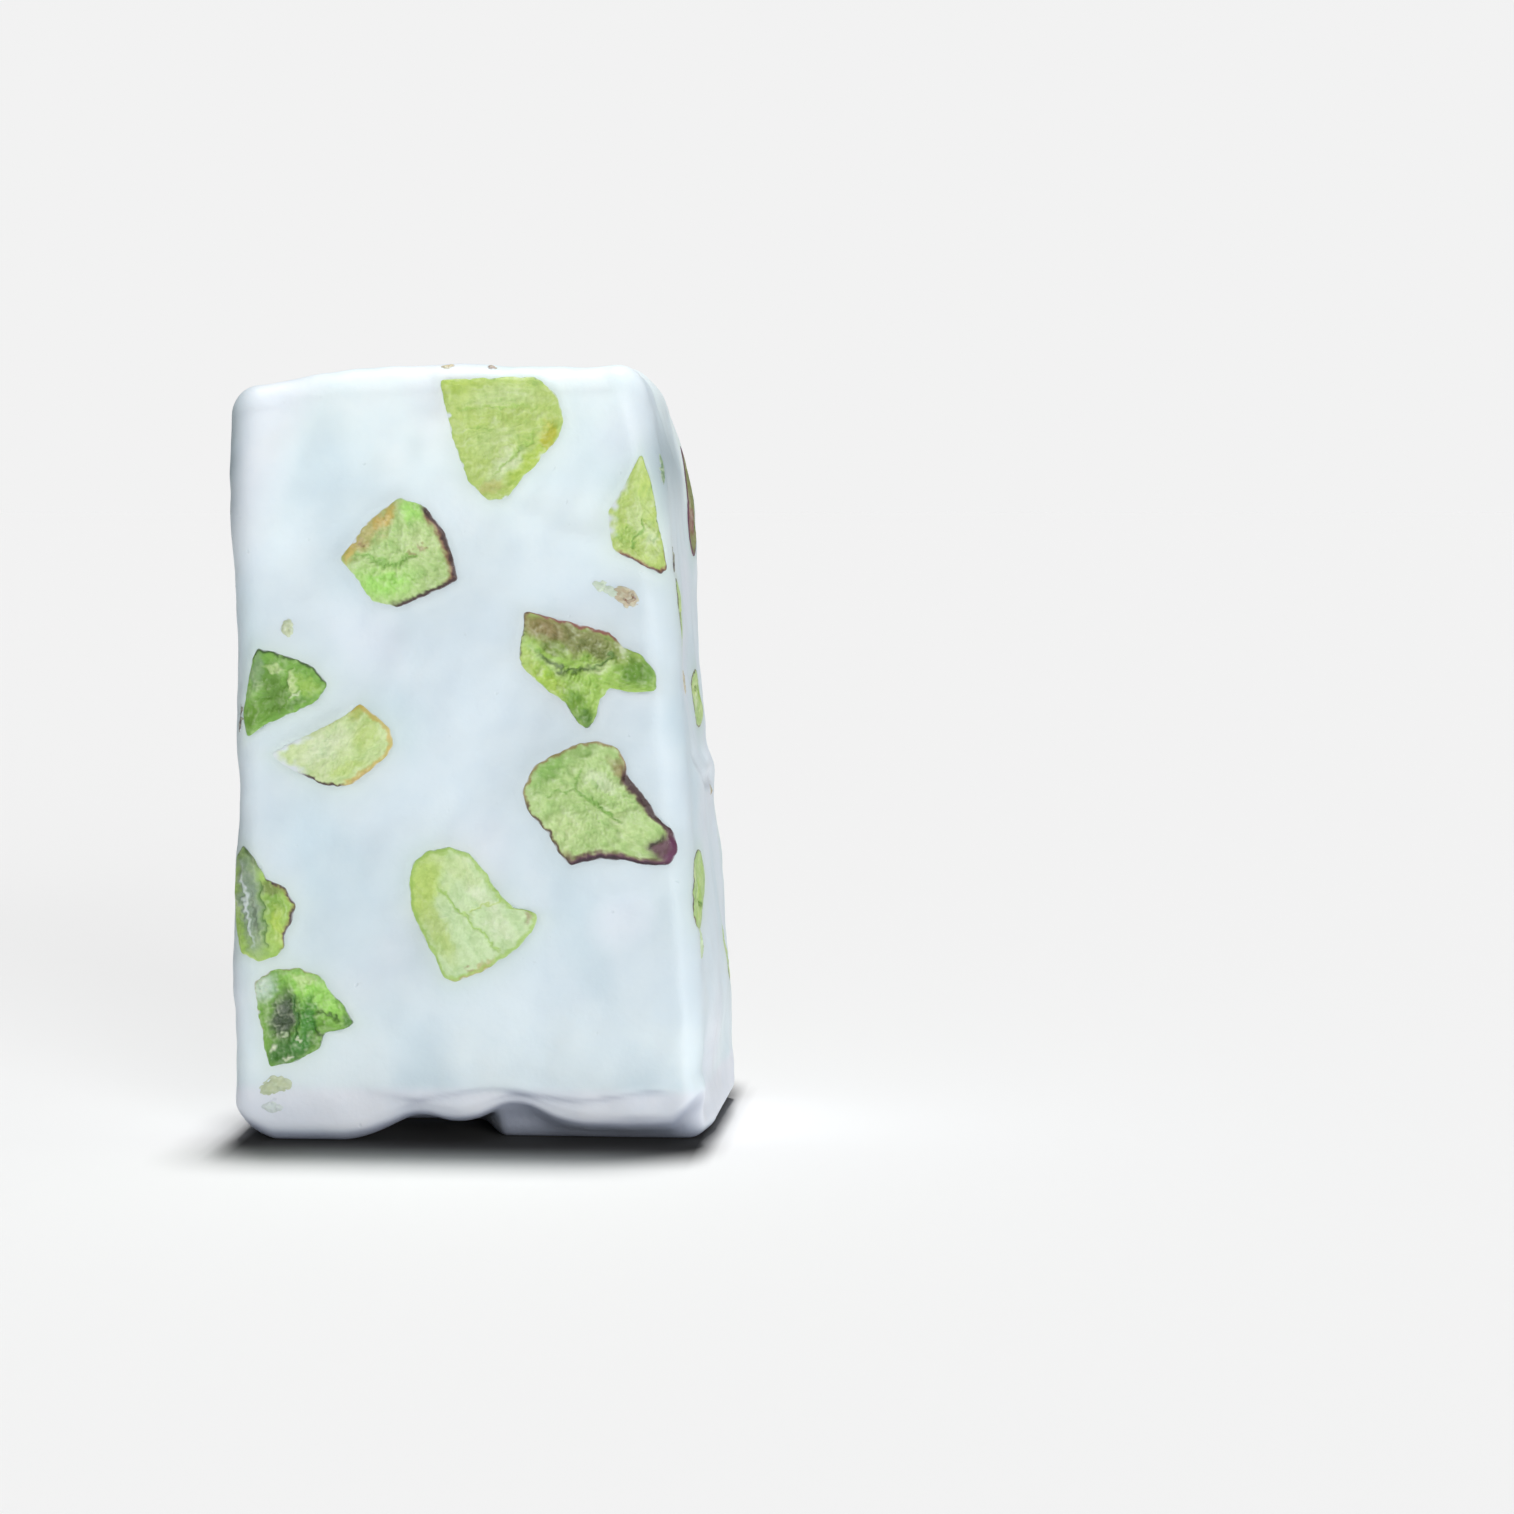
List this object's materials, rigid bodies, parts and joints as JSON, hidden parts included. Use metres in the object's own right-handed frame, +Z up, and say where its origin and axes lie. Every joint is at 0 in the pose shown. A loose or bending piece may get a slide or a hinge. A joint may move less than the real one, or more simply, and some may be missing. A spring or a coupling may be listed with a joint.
{
  "type": "nougat bar",
  "caption": "White nougat bar, cut by hand with soft edges and a chipped foot, standing on its end, with broken pistachio kernels sunk flush in every face.",
  "frame": {"origin": "middle of the bar's box, at the level that its foot stands on", "axes": "+Z up along the bar's length, +X across its width to the right seen from the front, +Y from the front face to the back"},
  "size_m": [0.0324, 0.0212, 0.0521],
  "materials": {
    "nougat": "smooth, satin, slightly translucent white with a cool tint",
    "pistachio": "broken nut, pale to dark green, with brown purple skin at the rims"
  },
  "bodies": {
    "root": {"nougat": "nougat", "pistachio_back_1": "pistachio", "pistachio_back_2": "pistachio", "pistachio_back_3": "pistachio", "pistachio_back_4": "pistachio", "pistachio_back_5": "pistachio", "pistachio_back_6": "pistachio", "pistachio_back_7": "pistachio", "pistachio_back_8": "pistachio", "pistachio_back_9": "pistachio", "pistachio_foot_1": "pistachio", "pistachio_foot_2": "pistachio", "pistachio_front_1": "pistachio", "pistachio_front_10": "pistachio", "pistachio_front_2": "pistachio", "pistachio_front_3": "pistachio", "pistachio_front_4": "pistachio", "pistachio_front_5": "pistachio", "pistachio_front_6": "pistachio", "pistachio_front_7": "pistachio", "pistachio_front_8": "pistachio", "pistachio_front_9": "pistachio", "pistachio_left_1": "pistachio", "pistachio_left_2": "pistachio", "pistachio_left_3": "pistachio", "pistachio_left_4": "pistachio", "pistachio_right_1": "pistachio", "pistachio_right_2": "pistachio", "pistachio_right_3": "pistachio", "pistachio_right_4": "pistachio", "pistachio_right_5": "pistachio", "pistachio_top_1": "pistachio", "pistachio_top_2": "pistachio", "pistachio_top_3": "pistachio"}
  },
  "joints": []
}
